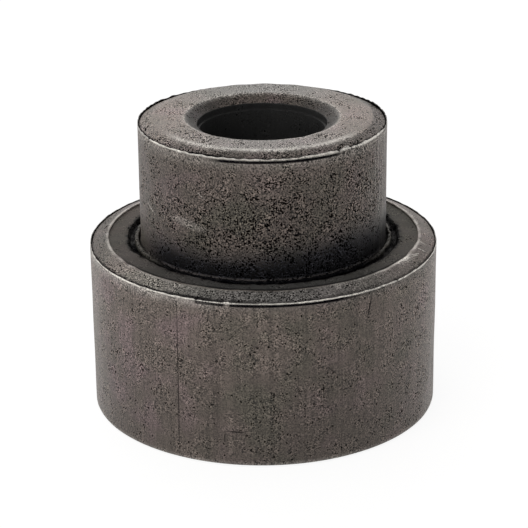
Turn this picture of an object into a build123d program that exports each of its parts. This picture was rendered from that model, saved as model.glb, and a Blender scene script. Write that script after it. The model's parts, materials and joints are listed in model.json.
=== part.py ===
from build123d import *
import os

# A stepped plain bearing bushing, pressed and sintered from iron powder as one solid.
# It stands on the flat end of its body. The bore's axis is Z, and z = 0 is that end.
# All lengths are in millimetres, and a width is measured outwards from the axis.

# Bore, with a chamfer at each end and a slightly wider land at its upper mouth
bore_diameter = 10.0
mouth_clearance = 0.17  # how far the mouth's land stands back from the bore
mouth_length = 0.5
bore_chamfer_width = 1.03
bore_chamfer_height = 0.6
lower_chamfer_width = 0.6
lower_chamfer_height = 0.35

# Journal, the narrow upper part
journal_diameter = 19.8
journal_length = 9.85  # from the crest of the shoulder to the top face
journal_chamfer_width = 1.08
journal_chamfer_height = 0.45

# Body, the wide lower part, which ends in the shoulder
shoulder_width = 4.1  # how far the body stands out past the journal
body_height = 14.15  # from the bottom face to the crest of the shoulder
shoulder_chamfer_width = 1.18
shoulder_chamfer_height = 0.55
base_chamfer_width = 0.28
base_chamfer_height = 0.17

# Edges of the two walls: a flat land with a fin of flash that ran up between punch and die
edge_land = 0.12
flash_thickness = 0.07
flash_height = 0.1

# Shoulder, inside its crest: a shallow recess, then a rough groove, a thin ring and a gap
crest_width = 0.2
recess_depth = 0.15
groove_width = 0.65
groove_depth = 0.35
groove_flare = 0.2  # how much the groove narrows towards its floor, at its outer wall
ring_thickness = 0.22
ring_height = 0.06  # above the floor of the recess
gap_width = 0.18
gap_depth = 0.25
gap_flare = 0.08  # how far the journal's foot spreads into the gap, below the ring's top

# Rounding of the crests between chamfers and faces
journal_crest_radius = 1.6
bore_crest_radius = 1.0
shoulder_crest_radius = 0.3

# Radii and heights that follow from the sizes above
bore_radius = bore_diameter / 2
mouth_radius = bore_radius + mouth_clearance
bore_crest = mouth_radius + bore_chamfer_width
journal_radius = journal_diameter / 2
journal_crest = journal_radius - edge_land - journal_chamfer_width
body_radius = journal_radius + shoulder_width
shoulder_crest = body_radius - edge_land - shoulder_chamfer_width
recess_radius = shoulder_crest - crest_width
gap_radius = journal_radius + gap_width
ring_radius = gap_radius + ring_thickness
groove_radius = ring_radius + groove_width

total_height = body_height + journal_length
body_edge = body_height - shoulder_chamfer_height
journal_edge = total_height - journal_chamfer_height
recess_floor = body_height - recess_depth
groove_floor = recess_floor - groove_depth
gap_floor = recess_floor - gap_depth
ring_top = recess_floor + ring_height
mouth_top = total_height - bore_chamfer_height
mouth_floor = mouth_top - mouth_length
cut_clearance = 1.0  # how far a cutting outline reaches past the face that it opens

fit_tolerance = 0.001


def round_edges(part, radius, height):
    """The part's round edges about Z at this radius and this height."""
    circles = part.edges().filter_by(GeomType.CIRCLE)
    return circles.filter_by(
        lambda edge: abs(edge.radius - radius) < fit_tolerance
        and abs(edge.arc_center.Z - height) < fit_tolerance
    )


with BuildPart() as bushing:
    # Body and journal: each wall ends in a land, a chamfer and a crest
    with BuildSketch(Plane.XZ):
        with BuildLine():
            Polyline(
                (0, 0),
                (body_radius - base_chamfer_width, 0),
                (body_radius, base_chamfer_height),
                (body_radius, body_edge),
                (body_radius - edge_land, body_edge),
                (shoulder_crest, body_height),
                (journal_radius, body_height),
                (journal_radius, journal_edge),
                (journal_radius - edge_land, journal_edge),
                (journal_crest, total_height),
                (0, total_height),
                close=True,
            )
        make_face()
    revolve(axis=Axis.Z)
    fillet(round_edges(bushing, journal_crest, total_height), journal_crest_radius)
    fillet(round_edges(bushing, shoulder_crest, body_height), shoulder_crest_radius)

    # Fins of flash that stand on the lands, flush with the walls
    with BuildSketch(Plane.XZ):
        for wall_radius, edge_height in ((body_radius, body_edge), (journal_radius, journal_edge)):
            with BuildLine():
                Polyline(
                    (wall_radius - flash_thickness, edge_height),
                    (wall_radius, edge_height),
                    (wall_radius - flash_thickness / 2, edge_height + flash_height),
                    close=True,
                )
            make_face()
    revolve(axis=Axis.Z)

    # Recess of the shoulder, with the groove and the gap on each side of the thin ring
    with BuildSketch(Plane.XZ):
        with BuildLine():
            Polyline(
                (recess_radius, body_height + cut_clearance),
                (recess_radius, recess_floor),
                (groove_radius, recess_floor),
                (groove_radius - groove_flare, groove_floor),
                (ring_radius, groove_floor),
                (ring_radius, ring_top),
                (gap_radius, ring_top),
                (gap_radius, gap_floor),
                (journal_radius + gap_flare, gap_floor),
                (journal_radius, ring_top),
                (journal_radius, body_height + cut_clearance),
                close=True,
            )
        make_face()
    revolve(axis=Axis.Z, mode=Mode.SUBTRACT)

    # Bore, its mouth and the chamfers at both ends
    with BuildSketch(Plane.XZ):
        with BuildLine():
            Polyline(
                (0, 0),
                (bore_radius + lower_chamfer_width, 0),
                (bore_radius, lower_chamfer_height),
                (bore_radius, mouth_floor),
                (mouth_radius, mouth_floor),
                (mouth_radius, mouth_top),
                (bore_crest, total_height),
                (0, total_height),
                close=True,
            )
        make_face()
    revolve(axis=Axis.Z, mode=Mode.SUBTRACT)
    fillet(round_edges(bushing, bore_crest, total_height), bore_crest_radius)

bushing.part.label = "bushing"

os.makedirs("parts", exist_ok=True)
export_step(bushing.part, "parts/bushing.step")
print("Volume in cubic millimetres:", round(bushing.part.volume, 1))
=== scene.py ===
"""Looks of a stepped plain bearing bushing, pressed and sintered from iron powder.

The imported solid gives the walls, faces and heights. Here one closed surface is worked out over
them, with the ragged flash on both edges and the thin ring round the journal's foot as pieces of
their own. Angles are measured round the axis from the side that faces the camera, positive
towards +X. Sizes are in metres.
"""

import functools
import json
import math
from types import SimpleNamespace

import bpy
import numpy as np
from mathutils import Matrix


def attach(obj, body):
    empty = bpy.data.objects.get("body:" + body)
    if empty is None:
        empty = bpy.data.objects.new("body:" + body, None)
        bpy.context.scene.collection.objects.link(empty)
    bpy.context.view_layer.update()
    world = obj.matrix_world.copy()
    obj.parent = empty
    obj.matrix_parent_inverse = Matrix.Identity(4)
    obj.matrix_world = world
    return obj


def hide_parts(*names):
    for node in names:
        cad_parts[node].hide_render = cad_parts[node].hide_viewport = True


bl_info = {
    "name": "Sintered Bushing",
    "version": (1, 0, 0),
    "blender": (4, 5, 0),
    "location": "3D View > Sidebar > Bushing",
    "description": "Gives a stepped plain bearing bushing the surface of pressed and sintered iron",
    "category": "Add Mesh",
}

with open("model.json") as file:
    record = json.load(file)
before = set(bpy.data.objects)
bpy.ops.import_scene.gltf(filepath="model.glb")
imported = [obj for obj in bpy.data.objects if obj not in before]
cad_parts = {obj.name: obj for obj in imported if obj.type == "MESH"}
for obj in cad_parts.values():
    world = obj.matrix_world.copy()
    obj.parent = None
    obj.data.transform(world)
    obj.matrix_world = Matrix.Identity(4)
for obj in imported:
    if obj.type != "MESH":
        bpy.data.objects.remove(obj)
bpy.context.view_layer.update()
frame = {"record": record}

MM = 0.001
NODE = "bushing"
BODY = "root"
MOUNTS = {mount["name"]: mount for mount in frame["record"]["mounts"]}
BODY_RADIUS = MOUNTS["body_wall"]["dims"]["r_mm"] * MM
JOURNAL_RADIUS = MOUNTS["journal"]["dims"]["r_mm"] * MM
BORE_RADIUS = MOUNTS["bore"]["dims"]["r_mm"] * MM
SHOULDER_HEIGHT = MOUNTS["shoulder_crest"]["pos_m"][2]
TOTAL_HEIGHT = MOUNTS["top_face"]["pos_m"][2]
ROUND_STEPS = 620  # cells round the part's surface
FLASH_STEPS = 1800  # cells round each thin fin, fine enough for its ragged lip
LIP_DEPTH = 0.9 * MM  # how far below its upper edge a wall has rows of its own for the worn lip
# The dark bands under and behind each fin are painted shade, laid into the grime mark
SHADE_DEPTH = 0.2 * MM  # height of the dark band under a fin
SHADE_FADE = 0.06 * MM  # over which that band fades out at its lower end
CRACK_BAND = 0.36 * MM  # width of the strip behind a fin that can be dark
SCUFF = 1.07  # angle of the scuffed place on the shoulder, in radians

# What the material reads of each point, all from 0 to 1, as finish_marks says
MARKS = ("burnish", "grime", "oil", "coarse", "tone", "hue", "grey", "gloss", "drawn", "outer")

# Settings that many shader nodes have
SOFT = {"interpolation_type": "SMOOTHSTEP"}
MIXED = {"data_type": "RGBA"}
TIMES = {"operation": "MULTIPLY"}
PLUS = {"operation": "ADD"}
LESS = {"operation": "SUBTRACT"}
MOST = {"operation": "MAXIMUM"}

# Fins of flash, at angles in degrees round the axis: height and lean in millimetres, how bright the
# lip is, rubbed metal with a painted highlight, and how dark the crack behind it and the shade
# below it are, both painted shade
BODY_FLASH = (
    (-180, 0.07, 0, 0.2, 1, 0), (-95, 0.08, 0, 0.3, 1, 0),
    (-74, 0.08, 0, 0.7, 0.7, 0), (-58, 0.1, 0.01, 1, 0.7, 0),
    (-22.2, 0.1, 0.02, 0.8, 0.8, 0), (-21.5, 0.02, 0, 0, 1, 0.8),
    (-20.8, 0.08, 0.03, 0.8, 0.8, 0.7), (-12.6, 0.07, 0.04, 0.7, 0.7, 0.9),
    (-12.1, 0.12, 0.06, 1, 0.4, 0), (-10.9, 0.12, 0.06, 1, 0.4, 0),
    (-10.4, 0.08, 0.06, 0.5, 0.7, 1), (0, 0.09, 0.06, 0.65, 0.3, 1),
    (22, 0.11, 0.06, 1, 0.5, 1), (32, 0.1, 0.04, 0.8, 0.4, 0.4),
    (46.5, 0.08, 0.01, 0.8, 0.4, 0), (47.2, 0.03, 0, 0.1, 1, 0.3),
    (48, 0.08, 0.01, 0.9, 0.5, 0), (74, 0.07, 0, 0.9, 0.7, 0),
    (95, 0.08, 0, 0.3, 1, 0), (180, 0.07, 0, 0.2, 1, 0),
)
JOURNAL_FLASH = (
    (-180, 0.03, 0, 0.2, 0.6, 0), (-145, 0.05, 0, 0.2, 1, 0),
    (-115, 0.15, 0, 0.1, 1, 0), (-90, 0.1, 0, 0.2, 1, 0),
    (-74, 0.16, 0, 0.4, 1, 0), (-63.5, 0.15, 0, 0.4, 0.8, 0),
    (-62.2, 0.03, 0, 0, 1, 0.3), (-60.5, 0.12, 0.02, 1, 0.6, 0),
    (-43, 0.12, 0.02, 0.8, 0.4, 0), (-40.4, 0.17, 0.02, 1, 0.7, 0),
    (-37.5, 0.13, 0.02, 0.6, 1, 0), (-24, 0.13, 0.03, 0.7, 1, 0.1),
    (-18, 0.13, 0.07, 0.7, 0.5, 1), (15, 0.13, 0.09, 0.8, 0.3, 1),
    (27, 0.2, 0.1, 0.9, 0.3, 1), (34, 0.22, 0.09, 0.8, 0.4, 0.9),
    (36.2, 0.03, 0.02, 0.1, 0.9, 0.6), (37, 0.26, 0.03, 0.6, 0.5, 0.2),
    (41, 0.25, 0.03, 0.6, 0.6, 0.2), (42.5, 0.13, 0.02, 0.7, 0.8, 0),
    (50, 0.16, 0.02, 0.9, 1, 0), (58, 0.17, 0.02, 1, 0.9, 0),
    (71, 0.14, 0, 0.8, 0.8, 0), (76, 0.06, 0, 0.2, 1, 0),
    (90, 0.12, 0, 0.1, 1, 0), (112, 0.16, 0, 0.1, 1, 0),
    (130, 0.1, 0, 0.1, 1, 0), (150, 0.03, 0, 0.2, 0.7, 0),
    (180, 0.03, 0, 0.2, 0.6, 0),
)

# Scratches on the walls and the shoulder's chamfer: middle as arc and height, half length and half
# width, all in millimetres of the unrolled surface, slope in degrees, and how dark each is, or how
# pale where it is below 0
SCRATCHES = (
    ((-6.93, 6.7), (9, 0.075), 89.6, 0.75), ((-3.85, 6.8), (6, 0.55), 91, 0.22),
    ((-2.25, 2.95), (0.95, 0.08), 0, 0.8), ((-3.15, 2.4), (0.6, 0.08), 84, 0.7),
    ((8.57, 12.25), (1.2, 0.08), 77, 1), ((2.75, 17.5), (1.05, 0.07), -6, 0.9),
    ((-9.2, 11.6), (0.5, 0.06), -20, 0.6), ((5.4, 7.6), (0.55, 0.07), -40, 0.6),
    ((8.1, 3.2), (0.5, 0.06), 70, 0.6), ((-10.75, 17.95), (1.1, 0.08), -25, -0.18),
    ((-4.9, 20.4), (0.5, 0.06), -38, -0.18), ((-6.2, 17.9), (2.2, 0.5), -8, -0.09),
    ((11.6, 17.4), (0.5, 0.06), -57, -0.3), ((13.77, 14.07), (0.7, 0.03), 0.6, -0.5),
    ((14.99, 14), (0.65, 0.02), -6.2, -0.7), ((15.16, 14.04), (0.9, 0.022), -7.4, -0.7),
    ((16.53, 13.99), (0.7, 0.026), -17.8, -0.6), ((17.83, 13.99), (0.5, 0.026), -22.9, -0.5),
)

# Places round the axis where a mark changes: angle and width of a bell, in radians, and by how
# much it changes how bright the shoulder's crest is, and how coarse, pale or violet each zone is
RUB_BELLS = ((-0.05, 0.3, -0.12), (0.72, 0.18, 0.2))
COARSE_BELLS = {
    "walls": ((0.9, 0.3, 0.1), (-0.7, 0.3, -0.05)),
    "journal": ((0.7, 0.35, 0.04), (-1.15, 0.35, 0.12)),
    "chamfer": ((0.0, 0.3, 0.3), (-0.7, 0.4, 0.1)),
    "top": ((-1.0, 0.6, 0.15),),
}
TONE_BELLS = {
    # The walls' bells are painted light: lighter at the left front and at the right side, darker at
    # the right front
    "walls": ((0.25, 0.5, -0.07), (-0.5, 0.5, 0.07), (1.05, 0.3, 0.03)),
    "journal": ((-1.0, 0.35, -0.03), (1.1, 0.3, 0.02)),
    "chamfer": ((-0.65, 0.4, 0.37), (0.55, 0.3, 0.13)),
}
HUE_BELLS = {
    "body": ((-0.8, 0.5, 0.2), (0.05, 0.3, -0.15)),
    "chamfer": ((-0.6, 0.5, -0.25),),
}

# Soft rectangular lights: name, place, width and height in metres, and power in watts
LAMPS = (
    ("back", (-0.05, 0.30, 0.19), (0.40, 0.16), 0.3),
    ("left", (-0.30, 0.02, 0.07), (0.20, 0.14), 0.12),
    ("front", (-0.12, -0.18, 0.25), (0.24, 0.24), 0.4),
)
FLOOR_REACH = 2.0  # from the middle of the floor to its sides


def length(name, description, default):
    """A size in metres."""
    return bpy.props.FloatProperty(
        name=name, description=description, default=default, unit="LENGTH", precision=6
    )


def share(name, description, default):
    """A number between 0 and 1."""
    return bpy.props.FloatProperty(
        name=name, description=description, default=default, min=0.0, max=1.0, subtype="FACTOR"
    )


def angle(name, description, degrees):
    """An angle, given here in degrees and kept in radians."""
    return bpy.props.FloatProperty(
        name=name, description=description, default=math.radians(degrees), subtype="ANGLE"
    )


def srgb(name, description, default):
    """A colour as an sRGB hex value."""
    return bpy.props.StringProperty(name=name, description=description, default=default)


class BushingForm(bpy.types.PropertyGroup):
    """Sizes of the pressed form and of the flash on it."""

    body_radius: length("Body radius", "Radius of the wide lower wall", BODY_RADIUS)
    journal_radius: length("Journal radius", "Radius of the narrow upper wall", JOURNAL_RADIUS)
    bore_radius: length("Bore radius", "Radius of the hole", BORE_RADIUS)
    shoulder_height: length("Shoulder height", "Height of the shoulder's crest", SHOULDER_HEIGHT)
    total_height: length("Total height", "Height of the top face", TOTAL_HEIGHT)
    base_chamfer_width: length("Base chamfer width", "Chamfer at the bottom edge", 0.28 * MM)
    base_chamfer_height: length("Base chamfer height", "Chamfer at the bottom edge", 0.17 * MM)
    lower_chamfer_width: length("Lower bore chamfer width", "At the hole's lower end", 0.6 * MM)
    lower_chamfer_height: length("Lower bore chamfer height", "At the hole's lower end", 0.35 * MM)
    edge_land: length("Edge land", "Flat strip between a wall and its chamfer", 0.12 * MM)
    shoulder_chamfer_width: length("Shoulder chamfer width", "Outside the crest", 1.18 * MM)
    shoulder_chamfer_height: length("Shoulder chamfer height", "Outside the crest", 0.55 * MM)
    crest_width: length("Crest width", "Flat top of the shoulder's crest", 0.2 * MM)
    recess_depth: length("Recess depth", "Step down from the crest to the recess", 0.15 * MM)
    groove_width: length("Groove width", "Rough groove outside the thin ring", 0.65 * MM)
    groove_depth: length("Groove depth", "Below the recess", 0.35 * MM)
    ring_thickness: length("Ring thickness", "Thin ring round the journal's foot", 0.22 * MM)
    ring_height: length("Ring height", "Thin ring's top above the recess", 0.06 * MM)
    gap_width: length("Gap width", "Between the journal and the thin ring", 0.18 * MM)
    gap_depth: length("Gap depth", "Below the recess", 0.25 * MM)
    gap_flare: length("Gap flare", "Spread of the journal's foot into the gap", 0.08 * MM)
    journal_chamfer_width: length("Journal chamfer width", "At the top edge", 1.08 * MM)
    journal_chamfer_height: length("Journal chamfer height", "At the top edge", 0.45 * MM)
    bore_chamfer_width: length("Bore chamfer width", "At the hole's upper mouth", 1.03 * MM)
    bore_chamfer_height: length("Bore chamfer height", "At the hole's upper mouth", 0.6 * MM)
    mouth_clearance: length("Mouth clearance", "Land at the mouth behind the bore", 0.17 * MM)
    mouth_length: length("Mouth length", "Length of the land at the mouth", 0.5 * MM)
    flash_thickness: length("Flash thickness", "Thickness of the fins", 0.08 * MM)
    wall_waves: length("Wall waves", "Largest unevenness of the walls", 0.012 * MM)
    crest_waves: length("Crest waves", "Largest unevenness of worn crests", 0.03 * MM)
    groove_waves: length("Groove waves", "Largest unevenness of the groove", 0.022 * MM)


class BushingFinish(bpy.types.PropertyGroup):
    """Colours and grain of the sintered surface."""

    brown: srgb("Brown grey", "Usual colour of the iron", "#5f5650")
    violet: srgb("Violet grey", "Cooler patches", "#635655")
    olive: srgb("Olive grey", "Warmer patches", "#5c574e")
    grey: srgb("Plain grey", "Clean iron on the faces", "#5a5a59")
    # The oily colour also paints shade on the journal's foot, the burnished colour paints
    # highlights on crests, lips and flash as well as rubbed metal, and the grime colour also paints
    # shade along the edges, inside the crest at the front, behind the fins and on the foot ring
    oily_and_shaded: srgb("Oily", "Iron under a film of oil", "#28282b")
    burnished_and_highlight: srgb("Burnished", "Crests and flash rubbed bright", "#f2ede5")
    grime: srgb("Grime", "Oil and dust in corners", "#0b0b0f")
    grain_size: length("Grain size", "One grain of the powder", 0.12 * MM)
    pit_spacing: length("Pit spacing", "From one open pit to the next", 0.175 * MM)
    stray_spacing: length("Stray pit spacing", "From one stray pit to the next", 0.35 * MM)
    cluster_size: length("Cluster size", "Width of an area where grains stand out", 1.2 * MM)
    patch_size: length("Patch size", "Width of a patch of colour", 2.6 * MM)
    streak_spacing: length("Streak spacing", "From one die streak to the next", 0.24 * MM)
    metallic: share("Metallic", "How far the surface is bare metal", 0.5)
    roughness: share("Roughness", "Roughness of the open surface", 0.5)


class BushingStage(bpy.types.PropertyGroup):
    """Camera, lights and floor."""

    camera_distance: length("Camera distance", "From the aim to the camera", 168.0 * MM)
    camera_elevation: angle("Camera elevation", "Height of the camera over the horizon", 21.78)
    camera_roll: angle("Camera roll", "Turn of the picture", -0.57)
    aim_side: length("Aim side", "Aim beside the axis", 0.035 * MM)
    aim_height: length("Aim height", "Aim above the floor", 11.31 * MM)
    focal_length: bpy.props.FloatProperty(
        name="Focal length", description="Lens, on a sensor 36 mm wide", default=140.5,
        unit="CAMERA",
    )
    floor: srgb("Floor", "Pale floor", "#e9e8e5")
    light: srgb("Light", "Colour of the lamps", "#fffdfa")


def linear(hex_colour):
    """An sRGB hex value as linear RGBA: c/12.92 below 0.04045, else ((c + 0.055)/1.055)^2.4."""
    values = np.array([int(hex_colour[i:i + 2], 16) for i in (1, 3, 5)]) / 255.0
    lit = np.where(values <= 0.04045, values / 12.92, ((values + 0.055) / 1.055) ** 2.4)
    return (*lit.tolist(), 1.0)


def ease(low, high, value):
    """Smooth step: 0 below low, 1 above high, and 3t^2 - 2t^3 between."""
    t = np.clip((value - low) / (high - low), 0.0, 1.0)
    return t * t * (3.0 - 2.0 * t)


def arc_at(turn, middle, half, fade):
    """1 within half of the middle angle, falling smoothly to 0 at half + fade, both ways round.

    The angle from the middle is that of the complex number exp(i (turn - middle)), so that it
    never passes half a turn.
    """
    away = np.abs(np.angle(np.exp(1j * (turn - middle))))
    return ease(half + fade, half, away)


def bump_at(value, centre, width):
    """A bell of height 1 round the centre: exp(-((value - centre) / width)^2)."""
    return np.exp(-(((value - centre) / width) ** 2))


def bells(turn, table):
    """Sum of the bells in a table: each row's amount times the bell at its angle and width."""
    return sum(amount * bump_at(turn, middle, width) for middle, width, amount in table)


def waves(turn, along, seed, count, most_round, most_along):
    """Unevenness that closes round the axis: the mean of count cosines cos(n turn + k along + p).

    n is whole, so that the sum meets itself after one turn. n, k and the phase p are drawn at
    random from the seed, and the sum is scaled to lie mostly between -1 and 1.
    """
    draw = np.random.default_rng(seed)
    n = draw.integers(1, most_round + 1, count) * draw.choice([-1, 1], count)
    k = draw.uniform(0.0, most_along, count)
    p = draw.uniform(0.0, 2.0 * math.pi, count)
    total = np.zeros(np.broadcast(turn, along).shape)
    for wave in range(count):
        total += np.cos(n[wave] * turn + k[wave] * along + p[wave])
    return total / math.sqrt(count)


def rounded(corners):
    """A closed outline with its corners rounded, as radii and heights.

    Each corner is (radius, height, rounding, steps). A rounding of size q swaps the corner for
    the quadratic curve (1-t)^2 a + 2t(1-t) c + t^2 b, where c is the corner and a and b lie q
    before and after it. steps is the number of cells on the straight run that follows.
    """
    points = np.array([corner[:2] for corner in corners])
    after = np.roll(points, -1, axis=0) - points
    way = after / np.linalg.norm(after, axis=1)[:, None]
    t = np.linspace(0.0, 1.0, 5)[:-1, None]
    rows = []
    for index, (_, _, cut, steps) in enumerate(corners):
        here = points[index]
        following = (index + 1) % len(corners)
        leave = here + way[index] * cut
        arrive = points[following] - way[index] * corners[following][2]
        if cut > 0.0:
            enter = here - way[index - 1] * cut
            rows.append((1 - t) ** 2 * enter + 2 * t * (1 - t) * here + t ** 2 * leave)
        rows.append(leave + (arrive - leave) * (np.arange(steps) / steps)[:, None])
    outline = np.concatenate(rows)
    return outline[:, 0], outline[:, 1]


def outward(radius, height):
    """Unit normals of a closed outline: its tangent (dr, dz) turned to (dz, -dr)."""
    dr = np.roll(radius, -1) - np.roll(radius, 1)
    dz = np.roll(height, -1) - np.roll(height, 1)
    size = np.hypot(dr, dz)
    return dz / size, -dr / size


def turned_mesh(name, turn, radius, height, marks):
    """A closed surface of revolution with uneven rows, as a mesh object.

    The point for row i and column j is (r sin a, -r cos a, z), with r and z from the arrays
    radius[i, j] and height[i, j] and a from turn[i]. Columns run round the closed outline and
    rows round the axis, so each four neighbours make a face that looks outwards. The UV map
    wall holds a r and z in millimetres. marks are float arrays of the same shape, kept as
    attributes for the material.
    """
    rows, columns = radius.shape
    a = turn[:, None]
    place = np.stack([radius * np.sin(a), -radius * np.cos(a), height], axis=-1)
    i, j = np.meshgrid(np.arange(rows), np.arange(columns), indexing="ij")
    i_next, j_next = (i + 1) % rows, (j + 1) % columns
    corners = [(i, j), (i_next, j), (i_next, j_next), (i, j_next)]
    loops = np.stack([p * columns + q for p, q in corners], axis=-1).reshape(-1)
    mesh = bpy.data.meshes.new(name)
    mesh.vertices.add(rows * columns)
    mesh.vertices.foreach_set("co", place.astype(np.float32).reshape(-1))
    mesh.loops.add(loops.size)
    mesh.loops.foreach_set("vertex_index", loops.astype(np.int32))
    mesh.polygons.add(rows * columns)
    mesh.polygons.foreach_set("loop_start", np.arange(0, loops.size, 4, dtype=np.int32))
    mesh.polygons.foreach_set("use_smooth", np.ones(rows * columns, dtype=bool))
    mesh.update(calc_edges=True)
    mesh.validate()
    unrolled = np.concatenate([turn, [turn[0] + 2.0 * math.pi]])
    wall = mesh.uv_layers.new(name="wall")
    u = np.stack([unrolled[i], unrolled[i + 1], unrolled[i + 1], unrolled[i]], axis=-1)
    r = np.stack([radius[p, q] for p, q in corners], axis=-1)
    z = np.stack([height[p, q] for p, q in corners], axis=-1)
    flat = np.stack([u * r, z], axis=-1) / MM
    wall.data.foreach_set("uv", flat.astype(np.float32).reshape(-1))
    for mark, values in marks.items():
        layer = mesh.attributes.new(mark, "FLOAT", "POINT")
        layer.data.foreach_set("value", values.astype(np.float32).reshape(-1))
    piece = bpy.data.objects.new(name, mesh)
    bpy.context.scene.collection.objects.link(piece)
    return piece


def turns(steps):
    """Angles of the rows, from the back through the front to the back again."""
    return -math.pi + 2.0 * math.pi * np.arange(steps) / steps


def form_heights(form):
    """Heights that follow from the form's sizes: both upper edges and the recess."""
    return SimpleNamespace(
        body_edge=form.shoulder_height - form.shoulder_chamfer_height,
        journal_edge=form.total_height - form.journal_chamfer_height,
        recess=form.shoulder_height - form.recess_depth,
    )


def form_radii(form):
    """Radii that follow from the form's sizes, from the bore's mouth to the shoulder's crest."""
    mouth = form.bore_radius + form.mouth_clearance
    gap = form.journal_radius + form.gap_width
    ring = gap + form.ring_thickness
    return SimpleNamespace(
        mouth=mouth,
        bore_crest=mouth + form.bore_chamfer_width,
        journal_crest=form.journal_radius - form.edge_land - form.journal_chamfer_width,
        gap=gap,
        groove=ring + form.groove_width,
        crest=form.body_radius - form.edge_land - form.shoulder_chamfer_width,
    )


def edge_corners(form, wall, edge, rise, steps):
    """Corners round the upper edge of a wall, from below its lip to the chamfer inside it.

    Two rows close below the edge bound its shade. The land inside the edge is cut to a slit
    behind the fin, and the chamfer has risen by rise where the crack's dark band ends.
    """
    land = wall - form.edge_land
    fin_back = wall - form.flash_thickness
    slit = (form.edge_land - form.flash_thickness) / 3
    return [
        (wall, edge - LIP_DEPTH, 0.0, 2),
        (wall, edge - SHADE_DEPTH - SHADE_FADE, 0.0, 1),
        (wall, edge - SHADE_DEPTH, 0.0, 2),
        (wall, edge, 0.0, 1),
        (fin_back, edge, 0.0, 1),
        (fin_back - slit, edge - 0.06 * MM, 0.0, 1),
        (land, edge + 0.01 * MM, 0.0, 4),
        (land - CRACK_BAND, edge + rise, 0.0, steps),
    ]


def body_outline(form):
    """Corners of the part's half section, up the outside, over the top and down the bore."""
    level, radii = form_heights(form), form_radii(form)
    outer, journal, bore = form.body_radius, form.journal_radius, form.bore_radius
    crest, gap, groove, mouth = radii.crest, radii.gap, radii.groove, radii.mouth
    recess, groove_floor = level.recess, level.recess - form.groove_depth
    gap_floor = level.recess - form.gap_depth
    inner_crest = crest - form.crest_width
    mouth_top = form.total_height - form.bore_chamfer_height
    mouth_floor = mouth_top - form.mouth_length
    return [
        (bore, form.lower_chamfer_height, 0.05 * MM, 2),
        (bore + form.lower_chamfer_width, 0.0, 0.05 * MM, 3),
        (outer - form.base_chamfer_width, 0.0, 0.04 * MM, 2),
        (outer, form.base_chamfer_height, 0.06 * MM, 1),
        (outer, form.base_chamfer_height + 0.3 * MM, 0.0, 11),
        *edge_corners(form, outer, level.body_edge, 0.168 * MM, 5),
        (crest, form.shoulder_height, 0.12 * MM, 1),
        (inner_crest, form.shoulder_height, 0.02 * MM, 1),
        (inner_crest - 0.03 * MM, recess, 0.03 * MM, 2),
        (inner_crest - 0.3 * MM, recess, 0.0, 5),
        (inner_crest - 0.65 * MM, recess, 0.0, 3),
        (groove, recess, 0.06 * MM, 2),
        (groove - 0.2 * MM, groove_floor, 0.05 * MM, 2),
        (gap, groove_floor, 0.0, 1),
        (gap, gap_floor, 0.0, 1),
        (journal + form.gap_flare, gap_floor, 0.0, 1),
        (journal, recess + form.ring_height, 0.02 * MM, 11),
        *edge_corners(form, journal, level.journal_edge, 0.15 * MM, 3),
        (radii.journal_crest, form.total_height, 0.2 * MM, 6),
        (radii.bore_crest, form.total_height, 0.22 * MM, 4),
        (mouth, mouth_top, 0.04 * MM, 2),
        (mouth, mouth_floor, 0.02 * MM, 1),
        (bore, mouth_floor - 0.03 * MM, 0.02 * MM, 7),
    ]


def flash_at(table, turn):
    """The flash table's five columns at these angles, straight between its rows."""
    rows = np.array(table).T
    return [np.interp(np.degrees(turn), rows[0], column) for column in rows[1:]]


def edge_shade(table, at, wall, edge):
    """Painted shade along an edge: dark bands for the crack behind its fin and for the shade below
    its lip.

    The shade is a band 0.2 mm high under the edge. The crack's band runs inwards from the edge by
    0.13 mm at the back, and widens as the cosine of the angle to about 0.4 mm in front.
    """
    _, _, _, behind, below = flash_at(table, at.a)
    reach = (0.13 + 0.28 * at.front) * (1.0 + 0.15 * waves(at.a, 0.0, 16, 20, 120, 0.0)) * MM
    inwards = wall - at.r
    crack = ease(reach + 0.05 * MM, reach, inwards) * (inwards > 0.03 * MM)
    crack = crack * (at.z > edge - 0.08 * MM)
    shade = ease(edge - SHADE_DEPTH - SHADE_FADE, edge - SHADE_DEPTH, at.z)
    shade = shade * (inwards < 0.05 * MM) * (at.z < edge + 0.01 * MM)
    return behind * crack + below * shade


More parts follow.
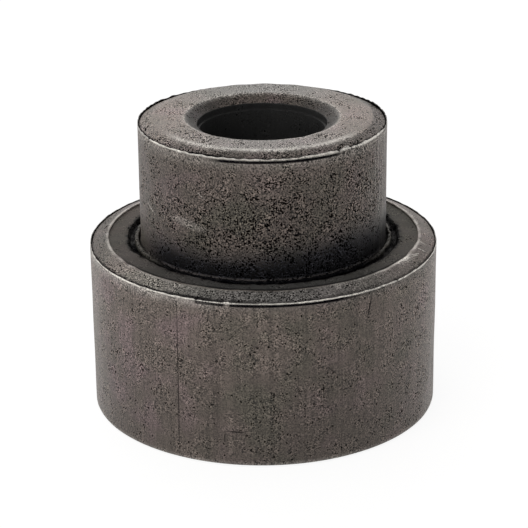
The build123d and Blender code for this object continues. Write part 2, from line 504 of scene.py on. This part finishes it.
def part_zones(form, turn, radius, height):
    """Each point's place, the zones that it lies in, and the waves that break up its marks.

    a, r and z are the place. bore, bowl, journal, body, top, rim, chamfer and recess are true in
    the hole, on the chamfer round its mouth, on the two walls, over the journal's edge, on that
    edge's chamfer, on the shoulder's chamfer, and on the smooth face inside the shoulder's crest.
    groove is 1 in the rough groove. crest, bead and lip are 1 on the crests of the shoulder, the
    journal and the bore, and body_lip, journal_lip and base at the walls' ends.
    """
    level, radii = form_heights(form), form_radii(form)
    a = np.broadcast_to(turn[:, None], (turn.size, radius.size))
    r = np.broadcast_to(radius, a.shape)
    z = np.broadcast_to(height, a.shape)
    at = SimpleNamespace(a=a, r=r, z=z)
    at.front, at.behind = np.clip(np.cos(a), 0.0, 1.0), np.clip(-np.cos(a), 0.0, 1.0)
    at.sides = ease(0.5, 1.2, np.abs(a)) * ease(1.9, 1.5, np.abs(a))

    at.patches = waves(a, z / MM, 11, 24, 9, 0.9)
    at.ragged = waves(a, 0.0, 12, 20, 60, 0.0)
    at.strokes = ease(0.1, 0.9, waves(a, r / MM * 3.0, 13, 24, 200, 1.0))
    at.streaks = ease(0.1, 1.2, waves(a, z / MM, 14, 24, 130, 1.2))
    at.ripple = 0.85 + 0.2 * waves(a, r / MM, 15, 24, 70, 2.0)

    at.bore = r < radii.mouth + 0.02 * MM
    mouth_top = form.total_height - form.bore_chamfer_height
    at.bowl = (r < radii.bore_crest) * (z > mouth_top - 0.05 * MM) * ~at.bore
    at.journal = np.abs(r - form.journal_radius) < 0.05 * MM
    at.journal = at.journal * (z > form.shoulder_height - 0.3 * MM)
    at.body = (r > form.body_radius - 0.05 * MM) * (z < level.body_edge)
    at.top = (z > level.journal_edge + 0.02 * MM) * ~at.bore * ~at.bowl
    at.rim = (z > level.journal_edge - 0.02 * MM) * (r > form.journal_radius - 1.1 * MM)
    at.chamfer = (r > radii.crest - 0.02 * MM) * (z > level.body_edge - 0.03 * MM)
    low = level.recess - form.groove_depth - 0.2 * MM
    inside = (r < radii.crest) * (z < form.shoulder_height - 0.05 * MM) * (z > low)
    inside = inside * ~at.bore * ~at.journal
    foot = radii.groove
    at.groove = inside * ease(foot + 0.2 * MM, foot - 0.08 * MM, r - 0.04 * MM * at.ragged)
    at.recess = inside * (r >= foot)

    def near(middle_r, middle_z, width):
        return bump_at(np.hypot(r - middle_r, z - middle_z), 0.0, width)

    at.crest = near(radii.crest - 0.08 * MM, form.shoulder_height, 0.12 * MM)
    at.bead = near(radii.journal_crest - 0.06 * MM, form.total_height, 0.3 * MM)
    at.lip = near(radii.bore_crest - 0.05 * MM, form.total_height, 0.2 * MM)
    at.body_lip = at.body * bump_at(z, level.body_edge, 0.5 * MM)
    at.journal_lip = at.journal * bump_at(z, level.journal_edge - 0.2 * MM, 0.45 * MM)
    at.base = at.body * bump_at(z, form.base_chamfer_height, 0.15 * MM)
    return at


def rubbed_and_highlit(form, at):
    """How bright each point is: rubbed metal on crests, lips, the scuffed right of the shoulder and
    edges, with painted highlights on the shoulder's crest, the journal's bead at the front and the
    body's sides, and a painted reflection of the floor on the base edge.
    """
    a, outwards = at.a, at.r - form_radii(form).crest
    scuff = bump_at(a, SCUFF, 0.08) * ease(0.5 * MM, 0.1 * MM, outwards) * (0.5 + 0.6 * at.strokes)
    across = bump_at(a, 0.42, 0.07) * at.strokes
    # The shoulder's crest is rubbed metal with a painted highlight along it
    line = 0.3 + 0.45 * bump_at(a, SCUFF, 0.2) * (0.7 + 0.5 * at.ragged) - 0.13 * at.sides
    line = line + bells(a, RUB_BELLS) + 0.12 * at.ragged
    burnish = at.crest * line + at.chamfer * (0.5 * scuff + 0.2 * across)
    burnish = burnish + 0.22 * at.lip * at.ripple
    # Painted highlight on the journal's bead, at the front only
    burnish = burnish + 0.4 * at.bead * at.ripple * ease(1.15, 0.7, np.abs(a))
    left = arc_at(a, -1.2, 0.8, 0.25) * (1.0 + 0.2 * at.ragged)
    # Of these, 0.12 on the base edge is a painted reflection of the floor; the lips are rubbed
    burnish = burnish + 0.16 * at.body_lip * left + 0.12 * at.base + 0.1 * at.journal_lip
    burnish = burnish + 0.12 * bump_at(a, 1.2, 0.22) * at.streaks * at.journal
    # Painted highlight down both sides of the body's wall
    return burnish + 0.06 * at.body * bump_at(np.abs(a), 1.35, 0.2)


def soiled_and_shaded(form, at):
    """How oily and shaded the journal's foot is, how dirty the groove is, how dark the bore and the
    bowl's sides are, and the painted shade along both edges and inside the crest at the front.
    """
    a, level = at.a, form_heights(form)
    # An oil stain with painted shade on the front and right of the journal's foot, reaching highest
    # at the right
    dark_top = (0.8 + 1.2 * arc_at(a, 1.6, 0.7, 1.6) + 0.2 * at.patches) * MM
    oil = ease(dark_top + 2.2 * MM, dark_top - 0.8 * MM, at.z - form.shoulder_height)
    oil = at.journal * oil * arc_at(a, 0.5, 1.3, 0.7)
    # Painted shade: a dark line on the recess just inside the shoulder's crest, towards the front
    step = form_radii(form).crest - form.crest_width - at.r
    crease = ease(0.05 * MM, 0.0, step - (0.1 + 0.5 * at.front) * MM) * ease(0.35, 0.6, at.front)
    grime = at.groove * (0.72 + 0.12 * at.ragged) + 0.6 * at.recess * crease
    grime = grime + at.bore * (0.32 - 0.14 * bump_at(a, 2.3, 0.4))
    grime = grime + 0.16 * at.bowl * np.sin(a) ** 2
    # Painted shade along both upper edges, in the crack behind each fin and under its lip
    low = edge_shade(BODY_FLASH, at, form.body_radius, level.body_edge)
    high = edge_shade(JOURNAL_FLASH, at, form.journal_radius, level.journal_edge)
    return oil, grime + np.where(at.z > form.shoulder_height, high, low)


def laid(value, *zones):
    """The value with each zone's own value laid over it in turn."""
    for zone, own in zones:
        value = np.where(zone, own, value)
    return value


def finish_marks(form, turn, radius, height):
    """How worn and highlit, dirty and shaded, oily, porous, pale, violet, grey and glossy each
    point is, from its place.

    burnish is 1 on rubbed crests, and also holds painted highlights on the shoulder's crest, the
    journal's bead and the body's sides, and a painted reflection of the floor on the base edge.
    grime is 1 where it is darkest: it is grime in the groove, painted shade along both edges and
    inside the crest at the front, and it darkens the bore and the bowl's sides. oil is 1 on the
    journal's foot, an oil stain with painted shade. coarse is 1 where the grain is open, as at the
    journal's front. tone is 0.5 on the walls, more on the upper faces and less on the recess and
    bore, with painted light and shade: the walls darken towards their feet and lighten at the left
    front and right side, the journal's top chamfer lightens at its left, and the recess darkens
    towards the front. hue runs from 0, olive, to 1, violet, and grey from 0, brown, to 1. gloss
    runs from 0, dull, to 1. drawn is 1 where the die left its streaks, and outer is 1 where
    scratches show.
    """
    at = part_zones(form, turn, radius, height)
    a, front, behind, groove = at.a, at.front, at.behind, at.groove > 0.5
    burnish = rubbed_and_highlit(form, at)
    oil, grime = soiled_and_shaded(form, at)
    above = at.z - form.shoulder_height
    middle = bump_at(a, 0.1, 0.95) * bump_at(above, 3.85 * MM, 3.9 * MM)

    coarse = 0.5 + 0.05 * at.patches + bells(a, COARSE_BELLS["walls"]) + 0.12 * at.sides * at.body
    coarse = coarse + at.journal * (0.1 + 0.5 * middle + bells(a, COARSE_BELLS["journal"]))
    coarse = laid(
        coarse,
        (at.chamfer, 0.6 + 0.1 * at.patches + bells(a, COARSE_BELLS["chamfer"])),
        (at.top, 0.68 + 0.1 * at.patches + 0.17 * front ** 2 + bells(a, COARSE_BELLS["top"])),
        (at.rim, 0.85), (at.bowl, 0.65), (at.recess, 0.35), (groove, 1.0), (at.bore, 0.2),
    )
    coarse = coarse * (1.0 - 0.6 * at.crest) * (1.0 - 0.4 * at.bead)

    # Painted light and shade in the tone: the walls darken towards their feet, lighten at the left
    # front and the right side and darken at the right front; the journal's top chamfer lightens at
    # its left, and the recess darkens towards the front
    tone = 0.39 + 0.14 * ease(0.0, 1.0, at.z / form.shoulder_height)
    tone = tone + bells(a, TONE_BELLS["walls"]) + 0.06 * arc_at(a, 1.7, 0.5, 0.4)
    tone = laid(
        tone + 0.16 * at.body_lip * bump_at(a, -0.5, 0.5),
        (at.journal, 0.42 - 0.11 * middle + bells(a, TONE_BELLS["journal"])),
        (at.chamfer, 0.62 + bells(a, TONE_BELLS["chamfer"]) - 0.24 * arc_at(a, -1.9, 0.5, 0.5)),
        (at.top, 0.84), (at.rim, 0.47 + 0.28 * arc_at(a, -1.6, 0.5, 0.4)),
        (at.recess, 0.4 - 0.1 * front), (groove, 0.16),
        (at.bowl, 0.17 + 0.25 * behind ** 4), (at.bore, 0.16),
    )

    upper_left = bump_at(a, -0.8, 0.35) * bump_at(above, 6.85 * MM, 1.6 * MM)
    hue = 0.5 + 0.06 * at.patches + at.body * bells(a, HUE_BELLS["body"])
    hue = laid(
        hue + at.journal * (0.2 * upper_left - 0.12 * middle),
        (at.chamfer, 0.5 + bells(a, HUE_BELLS["chamfer"])), (at.top, 0.55 - 0.2 * behind),
        (at.recess, 0.4 - 0.3 * arc_at(a, 1.8, 1.2, 0.9)),
    )
    grey = laid(
        0.3 * at.body_lip, (at.chamfer, 0.75 * front ** 2),
        (at.top, 0.55 * front ** 2 + 0.7 * behind ** 2), (at.rim, 0.15),
        (at.recess, 0.1 + 0.8 * front ** 2), (groove, 0.3), (at.bore, 1.0),
    )
    marks = {
        "burnish": burnish, "grime": grime, "oil": oil,
        "coarse": coarse, "tone": tone, "hue": hue, "grey": grey,
        "gloss": 0.5 + 0.3 * burnish + 0.2 * oil - 0.5 * at.recess - 0.4 * grime,
        "drawn": at.body + 0.35 * at.journal + 0.3 * at.bore,
        "outer": at.body + at.chamfer + at.journal * (above > 0.3 * MM),
    }
    return {name: np.clip(values, 0.0, 1.0) for name, values in marks.items()}


def add_node(tree, kind, inputs, out=0, **settings):
    """Adds a node, sets its settings, and fills its inputs with values or links.

    inputs maps a socket's name or its place in the list to a value, or to a socket of another
    node, which is linked to it. The function gives the output named by out, if there is one.
    """
    node = tree.nodes.new("ShaderNode" + kind)
    for key, value in settings.items():
        setattr(node, key, value)
    for key, value in inputs.items():
        if isinstance(value, bpy.types.NodeSocket):
            tree.links.new(value, node.inputs[key])
        else:
            node.inputs[key].default_value = value
    return node.outputs[out] if len(node.outputs) else None


def patched(add, finish, patch, marks, oil):
    """The iron's colour: brown with patches of violet and olive, plain grey, and oily and shaded
    below.
    """
    tint = add("MapRange", {0: patch, 1: 0.3, 2: 0.7, 3: -0.22, 4: 0.22}, **SOFT)
    tint = add("Math", {0: marks["hue"], 1: tint}, **PLUS)
    violet = add("MapRange", {0: tint, 1: 0.5, 2: 0.95, 3: 0.0, 4: 1.0}, **SOFT)
    olive = add("MapRange", {0: tint, 1: 0.05, 2: 0.5, 3: 1.0, 4: 0.0}, **SOFT)
    colour = linear(finish.brown)
    amounts = (violet, olive, marks["grey"], oil)
    others = (finish.violet, finish.olive, finish.grey, finish.oily_and_shaded)
    for amount, other in zip(amounts, others):
        colour = add("Mix", {0: amount, 6: colour, 7: linear(other)}, 2, **MIXED)
    return colour


def pores(add, finish, place, coarse, odd):
    """Cells of two sizes, each dark inside a ragged radius of its own and paler round it.

    Gives the factor that the pores put on the shade, and their relief, low inside each pore.
    """
    ragged = add("Math", {0: odd, 1: 0.5}, **TIMES)
    factor, relief = 1.0, 0.0
    for spacing, reach, depth, brim in (
        (finish.pit_spacing, {1: 0.4, 2: 1.0, 3: 0.0, 4: 0.38}, 0.04, 1.3),
        (finish.stray_spacing, {1: 0.25, 2: 0.45, 3: 0.0, 4: 0.17}, 0.12, 1.12),
    ):
        away = add("TexVoronoi", {"Vector": place, "Scale": 1 / spacing}, "Distance")
        size = add("SeparateColor", {"Color": away.node.outputs["Color"]})
        size = add("MapRange", {0: size, 3: 0.4, 4: 1.6})
        size = add("Math", {0: size, 1: add("MapRange", {0: coarse, **reach})}, **TIMES)
        away = add("Math", {0: add("Math", {0: away, 1: ragged}, **PLUS), 1: size}, **LESS)
        pore = add("MapRange", {0: away, 1: -0.05, 2: 0.07, 3: depth, 4: brim}, **SOFT)
        beyond = add("MapRange", {0: away, 1: 0.12, 2: 0.3, 3: 1.0, 4: 1 / brim}, **SOFT)
        factor = add("Math", {0: factor, 1: pore}, **TIMES)
        factor = add("Math", {0: factor, 1: beyond}, **TIMES)
        relief = add("Math", {0: pore, 1: relief}, **PLUS)
    return factor, relief


def scratched(add, outer, burnish, grime):
    """The burnish and grime marks with the scratches laid in: a long thin round spot on the
    unrolled wall each.
    """
    unrolled = add("UVMap", {}, uv_map="wall")
    for (around, up), (half_length, half_width), slope, dark in SCRATCHES:
        spot = add("Mapping", {
            "Vector": unrolled, "Location": (around, up, 0.0),
            "Rotation": (0.0, 0.0, math.radians(slope)), "Scale": (half_length, half_width, 1.0),
        }, vector_type="TEXTURE")
        spot = add("TexGradient", {"Vector": spot}, 1, gradient_type="SPHERICAL")
        spot = add("MapRange", {0: spot, 1: 0.0, 2: 0.6, 3: 0.0, 4: abs(dark)}, **SOFT)
        spot = add("Math", {0: spot, 1: outer}, **TIMES)
        if dark > 0.0:
            grime = add("Math", {0: grime, 1: spot}, **MOST)
        else:
            burnish = add("Math", {0: burnish, 1: spot}, **MOST)
    return burnish, grime


def iron_material(finish):
    """Sintered iron: dull brown-grey metal, freckled with open pores, streaked by the die.

    The eye gets five things from it: patches of violet and olive in the brown, grains that stand
    out in clusters, black pores with a paler rim, faint upright streaks on the walls, and bright
    metal where crests rub. The burnished colour also lays painted highlights on crests, lips and
    flash, and the grime and oily colours lay painted shade along the edges, inside the crest's
    front, on the foot ring and on the journal's foot. Real grains and pores are 0.05 to 0.1 mm
    wide, and they are drawn at the upper end of that so that they show.
    """
    material = bpy.data.materials.new("pressed_sintered_iron")
    material.use_nodes = True
    material.node_tree.nodes.clear()
    add = functools.partial(add_node, material.node_tree)
    marks = {mark: add("Attribute", {}, "Fac", attribute_name=mark) for mark in MARKS}
    place = add("TexCoord", {}, "Object")

    # Grains, into which the edges of the oil stain and its painted shade, and of the grime and
    # painted shade, break up
    grain = {"Vector": place, "Scale": 1 / finish.grain_size, "Detail": 1.0, "Roughness": 0.6}
    grain = add("TexNoise", grain)
    odd = add("Math", {0: grain, 1: 0.5}, **LESS)
    oil = add("Math", {0: marks["oil"], 1: add("Math", {0: odd, 1: 1.2}, **TIMES)}, **PLUS)
    oil = add("MapRange", {0: oil, 1: 0.12, 2: 1.0, 3: 0.0, 4: 1.0})
    broken = add("Math", {0: 1.0, 1: add("Math", {0: odd, 1: 1.6}, **TIMES)}, **PLUS)
    grime = add("Math", {0: marks["grime"], 1: broken}, use_clamp=True, **TIMES)

    patch = add("TexNoise", {"Vector": place, "Scale": 1 / finish.patch_size})
    colour = patched(add, finish, patch, marks, oil)

    # Streaks along the press's stroke: noise stretched fifty times in height
    upright = add("Mapping", {"Vector": place, "Scale": (1.0, 1.0, 0.02)})
    streak = {"Vector": upright, "Scale": 1 / finish.streak_spacing, "Roughness": 0.7}
    streak = add("TexNoise", streak)
    streak = add("MapRange", {0: streak, 1: 0.35, 2: 0.65, 3: -0.3, 4: 0.3})
    streak = add("Math", {0: streak, 1: marks["drawn"]}, **TIMES)
    streak = add("Math", {0: streak, 1: 2.0}, **PLUS)
    shade = add("Math", {0: marks["tone"], 1: streak}, **TIMES)

    # Grains: (1 + k (noise - 0.5))^2, where k grows with coarseness, which differs by cluster
    cluster = {"Vector": place, "Scale": 1 / finish.cluster_size, "Roughness": 0.6}
    cluster = add("TexNoise", cluster)
    gather = add("MapRange", {0: cluster, 1: 0.38, 2: 0.62, 3: -0.22, 4: 0.26})
    coarse = add("Math", {0: marks["coarse"], 1: gather}, **PLUS)
    speck = add("Math", {0: odd, 1: add("Math", {0: coarse, 1: 4.6}, **TIMES)}, **TIMES)
    speck = add("Math", {0: speck, 1: 1.0}, **PLUS)
    speck = add("Math", {0: speck, 1: 0.1}, **MOST)
    lit = add("Math", {0: speck, 1: 2.0}, operation="POWER")
    shade = add("Math", {0: shade, 1: lit}, **TIMES)
    cloud = add("MapRange", {0: patch, 1: 0.3, 2: 0.7, 3: 0.86, 4: 1.13})
    shade = add("Math", {0: shade, 1: cloud}, **TIMES)

    pitted, relief = pores(add, finish, place, coarse, odd)
    shade = add("Math", {0: shade, 1: pitted}, **TIMES)
    level = add("CombineColor", {"Red": shade, "Green": shade, "Blue": shade})
    colour = add("Mix", {0: 1.0, 6: colour, 7: level}, 2, blend_type="MULTIPLY", **MIXED)

    # Rubbed metal and painted highlights take the burnished colour, then grime and painted shade
    # take the grime colour
    burnish, grime = scratched(add, marks["outer"], marks["burnish"], grime)
    bright = add("Math", {0: burnish, 1: lit}, **TIMES)
    polish_and_highlight = {0: bright, 6: colour, 7: linear(finish.burnished_and_highlight)}
    colour = add("Mix", polish_and_highlight, 2, clamp_factor=True, **MIXED)
    colour = add("Mix", {0: grime, 6: colour, 7: linear(finish.grime)}, 2, **MIXED)

    # Pores, grime and painted shade, and the oil stain with its painted shade mirror as little as
    # their own dark colour, so they count as bare metal, and neither pores nor grime and painted
    # shade shine at a low angle
    open_metal = add("MapRange", {0: relief, 1: 1.2, 2: 2.4, 3: 1.0, 4: finish.metallic})
    metal = add("Math", {0: open_metal, 1: grime}, **MOST)
    metal = add("Math", {0: metal, 1: oil}, **MOST)
    spread = {3: finish.roughness + 0.25, 4: finish.roughness - 0.25}
    rough = add("MapRange", {0: marks["gloss"], **spread})
    ruffle = add("MapRange", {0: grain, 1: 0.3, 2: 0.7, 3: -0.06, 4: 0.06})
    rough = add("Math", {0: rough, 1: ruffle}, **PLUS)
    dull = add("MapRange", {0: relief, 1: 1.2, 2: 2.0, 3: 0.65, 4: 0.0})
    dull = add("Math", {0: add("Math", {0: grime, 1: 0.7}, **TIMES), 1: dull}, **MOST)
    sheen = add("Mix", {0: dull, 6: (1.0, 1.0, 1.0, 1.0), 7: (0.0, 0.0, 0.0, 1.0)}, 2, **MIXED)
    relief = add("Math", {0: relief, 1: lit}, **PLUS)
    normal = add("Bump", {"Strength": 0.5, "Distance": 0.01 * MM, "Height": relief})
    shader = add("BsdfPrincipled", {
        "Base Color": colour, "Metallic": metal, "Roughness": rough, "Specular Tint": sheen,
        "Normal": normal,
    })
    add("OutputMaterial", {"Surface": shader})
    return material


def iron(finish):
    """The one iron material, made when it is first asked for."""
    return bpy.data.materials.get("pressed_sintered_iron") or iron_material(finish)


def settle(piece, finish):
    """Gives a piece its material and the body that it rides on."""
    piece.data.materials.append(iron(finish))
    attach(piece, BODY)


class BUSHING_OT_pressed_body(bpy.types.Operator):
    """Make the pressed and sintered part: walls, crests, recess, groove and bore in one surface"""

    bl_idname = "bushing.pressed_body"
    bl_label = "Pressed body"

    def execute(self, context):
        form = context.scene.bushing_form
        radii, recess = form_radii(form), form_heights(form).recess
        turn = turns(ROUND_STEPS)
        round_axis = turn[:, None]
        r, z = rounded(body_outline(form))
        side, up = outward(r, z)

        lift = form.wall_waves * waves(round_axis, z / MM, 21, 30, 24, 1.2)
        crest_middle = radii.crest - 0.5 * form.crest_width
        from_crest = np.hypot(r - crest_middle, z - form.shoulder_height)
        crest = bump_at(from_crest, 0.0, 0.3 * MM)
        lift = lift + form.crest_waves * crest * waves(round_axis, 0.0, 22, 24, 50, 0.0)
        foot = radii.groove
        groove = bump_at(np.hypot(r - foot, z - recess), 0.0, 0.16 * MM)
        lift = lift + form.groove_waves * groove * waves(round_axis, 0.0, 23, 40, 110, 0.0)
        lift = lift * ease(0.0, 0.5 * MM, z)

        # The groove's outer wall stands further in at the front left
        moved = ease(foot - 0.4 * MM, foot - 0.2 * MM, r) * ease(foot + 0.9 * MM, foot, r)
        moved = moved * (z > 0.5 * form.shoulder_height)
        narrow = 0.3 * MM * moved * arc_at(round_axis, -0.75, 0.2, 0.3)
        piece = turned_mesh(
            "bushing_surface", turn, r + side * lift - narrow, z + up * lift,
            finish_marks(form, turn, r, z),
        )
        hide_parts(NODE)
        settle(piece, context.scene.bushing_finish)
        return {"FINISHED"}


def even_marks(shape, **values):
    """Marks that are the same all over a piece, and 0 where no value is given."""
    return {mark: np.full(shape, values.get(mark, 0.0)) for mark in MARKS}


def fin(name, form, wall, edge, table, uneven, seed):
    """A ragged fin on an edge: a thin wall whose height and lean change round the axis.

    The section is a closed loop of six points, up the outside, over the lip and down the inside.
    The lip stands height(a) over the edge and lean(a) outside the wall, both from the flash table
    and roughened with waves, the height by the share uneven. The lip is rubbed bright and carries a
    painted highlight, and the inside is darkened with painted shade from the table's crack column.
    """
    turn = turns(FLASH_STEPS)
    height, lean, bright, behind, _ = flash_at(table, turn)
    height = height * np.clip(1.25 + uneven * waves(turn, 0.0, seed, 40, 90, 0.0), 0.4, 2.0) * MM
    lean = lean * MM + 0.012 * MM * waves(turn, 0.0, seed + 1, 24, 40, 0.0)
    thick = form.flash_thickness * (0.9 + 0.25 * waves(turn, 0.0, seed + 2, 20, 120, 0.0))
    outer_foot = np.full_like(turn, -0.004 * MM)
    sunk = np.full_like(turn, -0.04 * MM)
    side = np.stack([
        outer_foot, lean * 0.5, lean, lean - thick * 0.4, lean * 0.6 - thick, -thick,
    ], axis=1)
    rise = np.stack([sunk, height * 0.45, height * 0.9, height, height * 0.75, sunk], axis=1)
    bright = bright * (0.85 + 0.15 * waves(turn, 0.0, seed + 3, 30, 150, 0.0))
    # The lip is rubbed metal with a painted highlight, and the inside is painted shade
    burnish = bright[:, None] * np.array([0.6, 1.0, 1.0, 0.9, 0.2, 0.0])
    grime = behind[:, None] * np.array([0.0, 0.0, 0.0, 0.1, 0.9, 1.0])
    marks = even_marks(side.shape, coarse=0.3, tone=0.6, hue=0.4, grey=0.6, gloss=0.6, outer=1.0)
    marks["burnish"], marks["grime"] = np.clip(burnish, 0.0, 1.0), np.clip(grime, 0.0, 1.0)
    return turned_mesh(name, turn, wall + side, edge + rise, marks)


class BUSHING_OT_flash(bpy.types.Operator):
    """Make the ragged fins of flash on the upper edges of the body and the journal"""

    bl_idname = "bushing.flash"
    bl_label = "Flash"

    def execute(self, context):
        form = context.scene.bushing_form
        level = form_heights(form)
        low = (form.body_radius, level.body_edge, BODY_FLASH, 0.18, 31)
        high = (form.journal_radius, level.journal_edge, JOURNAL_FLASH, 0.26, 35)
        for piece in (fin("body_flash", form, *low), fin("journal_flash", form, *high)):
            settle(piece, context.scene.bushing_finish)
        return {"FINISHED"}


class BUSHING_OT_foot_ring(bpy.types.Operator):
    """Make the thin ring that stands in the groove round the journal's foot"""

    bl_idname = "bushing.foot_ring"
    bl_label = "Foot ring"

    def execute(self, context):
        form = context.scene.bushing_form
        recess = form_heights(form).recess
        turn = turns(FLASH_STEPS)
        wobble = 0.03 * MM * waves(turn, 0.0, 41, 30, 60, 0.0)
        front = ease(-1.2, -0.75, turn) * ease(1.4, 0.7, turn)
        top = recess + form.ring_height + 0.04 * MM * waves(turn, 0.0, 42, 40, 90, 0.0)
        top = top - 0.12 * MM * front
        bottom = np.full_like(turn, recess - form.groove_depth - 0.03 * MM)
        thick = form.ring_thickness + 0.03 * MM * waves(turn, 0.0, 43, 30, 70, 0.0)
        thick = thick + 0.08 * MM * bump_at(turn, -1.4, 0.4)
        inner = np.zeros_like(turn)
        inner_lip = 0.3 * wobble + 0.2 * thick
        side = np.stack([thick, thick, thick * 0.7, inner_lip, inner, inner], axis=1)
        height = np.stack([bottom, top - 0.06 * MM, top, top, top - 0.05 * MM, bottom], axis=1)
        marks = even_marks(side.shape, coarse=0.7, tone=0.38, grey=0.2, gloss=0.3)
        # Painted shade: the ring darkens towards the front, where the journal shades it, over a
        # faint darkening all round
        marks["grime"] = np.broadcast_to(0.2 + 0.8 * front[:, None], side.shape)
        piece = turned_mesh("foot_ring", turn, form_radii(form).gap + side, height, marks)
        settle(piece, context.scene.bushing_finish)
        return {"FINISHED"}


def look(way):
    """Euler angles that turn an object's -Z along this direction, with its Y axis upwards."""
    flat = math.hypot(way[0], way[1])
    return (math.atan2(flat, -way[2]), 0.0, math.atan2(-way[0], way[1]))


def area_lamp(name, place, size, power, colour):
    """A soft rectangular light that looks at the middle of the part."""
    data = bpy.data.lights.new(name, "AREA")
    data.shape = "RECTANGLE"
    data.size, data.size_y = size
    data.energy = power
    data.color = colour[:3]
    lamp = bpy.data.objects.new(name, data)
    lamp.location = place
    lamp.rotation_euler = look(np.array([0.0, 0.0, 0.5 * TOTAL_HEIGHT]) - np.array(place))
    bpy.context.scene.collection.objects.link(lamp)


def aimed_camera(stage):
    """The camera, on a circle round its aim and level but for its roll."""
    data = bpy.data.cameras.new("camera")
    data.lens = stage.focal_length
    data.sensor_width = 36.0
    data.clip_start, data.clip_end = 0.005, 10.0
    camera = bpy.data.objects.new("camera", data)
    tilt = stage.camera_elevation
    way = np.array([0.0, math.cos(tilt), -math.sin(tilt)])
    aim = np.array([stage.aim_side, 0.0, stage.aim_height])
    camera.location = aim - way * stage.camera_distance
    camera.rotation_mode = "XYZ"
    camera.rotation_euler = look(way)
    camera.rotation_euler.rotate_axis("Z", stage.camera_roll)
    return camera


class BUSHING_OT_stage(bpy.types.Operator):
    """Make the floor, the lamps, the surroundings and the camera"""

    bl_idname = "bushing.stage"
    bl_label = "Stage"

    def execute(self, context):
        stage = context.scene.bushing_stage
        scene = context.scene
        scene.view_settings.view_transform = "Standard"

        mesh = bpy.data.meshes.new("floor")
        signs = ((-1, -1), (1, -1), (1, 1), (-1, 1))
        corners = [(x * FLOOR_REACH, y * FLOOR_REACH, 0.0) for x, y in signs]
        mesh.from_pydata(corners, [], [(0, 1, 2, 3)])
        floor = bpy.data.objects.new("floor", mesh)
        scene.collection.objects.link(floor)
        mesh.materials.append(floor_material(stage))

        scene.world = bpy.data.worlds.new("studio")
        scene.world.use_nodes = True
        studio_world(scene.world.node_tree)
        for lamp in LAMPS:
            area_lamp(*lamp, linear(stage.light))
        scene.camera = aimed_camera(stage)
        scene.collection.objects.link(scene.camera)
        return {"FINISHED"}


def mirrored(add, rays):
    """1 for a ray that was mirrored or passed through something, from a light path's outputs."""
    ways = {0: rays["Is Glossy Ray"], 1: rays["Is Transmission Ray"]}
    return add("Math", ways, **MOST)


def floor_material(stage):
    """Pale matt floor. Seen or mirrored, it is white but for the part's soft shadow."""
    material = bpy.data.materials.new("pale_floor")
    material.use_nodes = True
    material.node_tree.nodes.clear()
    add = functools.partial(add_node, material.node_tree)
    rays = add("LightPath", {}).node.outputs
    shown = {0: rays["Is Camera Ray"], 1: mirrored(add, rays)}
    ray = add("Math", shown, **MOST)
    matt = add("BsdfDiffuse", {"Color": linear(stage.floor)})
    shaded = add("BsdfDiffuse", {"Color": (0.2, 0.2, 0.2, 1.0)})
    glow = add("Emission", {"Color": (1.0, 1.0, 1.0, 1.0), "Strength": 0.88})
    seen = add("AddShader", {0: shaded, 1: glow})
    add("OutputMaterial", {"Surface": add("MixShader", {0: ray, 1: matt, 2: seen})})
    return material


def studio_world(tree):
    """A white sweep that dims overhead: full strength as a background, less as a light.

    Mirrored, the strength falls smoothly from 1 at the horizon to 0.35 overhead. As a light on
    matt surfaces it falls from the back of the part towards its front instead.
    """
    tree.nodes.clear()
    add = functools.partial(add_node, tree)
    rays = add("LightPath", {}).node.outputs
    axis = add("SeparateXYZ", {"Vector": add("TexCoord", {}, "Generated")}).node.outputs
    sweep = add("MapRange", {0: axis["Z"], 1: 0.2, 2: 0.75, 3: 1.0, 4: 0.35}, **SOFT)
    lit = add("MapRange", {0: axis["Y"], 1: -0.6, 2: 0.9, 3: 0.2, 4: 0.75}, **SOFT)
    matt, mirror, backdrop = (
        add("Background", {"Color": (1.0, 1.0, 1.0, 1.0), "Strength": strength})
        for strength in (lit, sweep, 1.0)
    )
    indirect = add("MixShader", {0: mirrored(add, rays), 1: matt, 2: mirror})
    world = add("MixShader", {0: rays["Is Camera Ray"], 1: indirect, 2: backdrop})
    add("OutputWorld", {"Surface": world})


class BUSHING_PT_panel(bpy.types.Panel):
    """The bushing's operators and sizes, in the 3D view's sidebar"""

    bl_idname = "BUSHING_PT_panel"
    bl_label = "Sintered bushing"
    bl_space_type = "VIEW_3D"
    bl_region_type = "UI"
    bl_category = "Bushing"

    def draw(self, context):
        for operator in OPERATORS:
            self.layout.operator(operator.bl_idname)
        for name, group in GROUPS.items():
            box = self.layout.box()
            for setting in group.__annotations__:
                box.prop(getattr(context.scene, name), setting)


OPERATORS = (BUSHING_OT_pressed_body, BUSHING_OT_flash, BUSHING_OT_foot_ring, BUSHING_OT_stage)
GROUPS = {
    "bushing_form": BushingForm,
    "bushing_finish": BushingFinish,
    "bushing_stage": BushingStage,
}


def register():
    """Registers the classes and puts each group of settings on the scene."""
    for item in (*GROUPS.values(), *OPERATORS, BUSHING_PT_panel):
        bpy.utils.register_class(item)
    for name, group in GROUPS.items():
        setattr(bpy.types.Scene, name, bpy.props.PointerProperty(type=group))


def unregister():
    """Takes the settings off the scene and removes the classes."""
    for name in GROUPS:
        delattr(bpy.types.Scene, name)
    for item in (BUSHING_PT_panel, *OPERATORS, *GROUPS.values()):
        bpy.utils.unregister_class(item)


def main():
    """Makes every piece and the stage."""
    register()
    bpy.ops.bushing.pressed_body()
    bpy.ops.bushing.flash()
    bpy.ops.bushing.foot_ring()
    bpy.ops.bushing.stage()


if __name__ == "__main__":
    main()
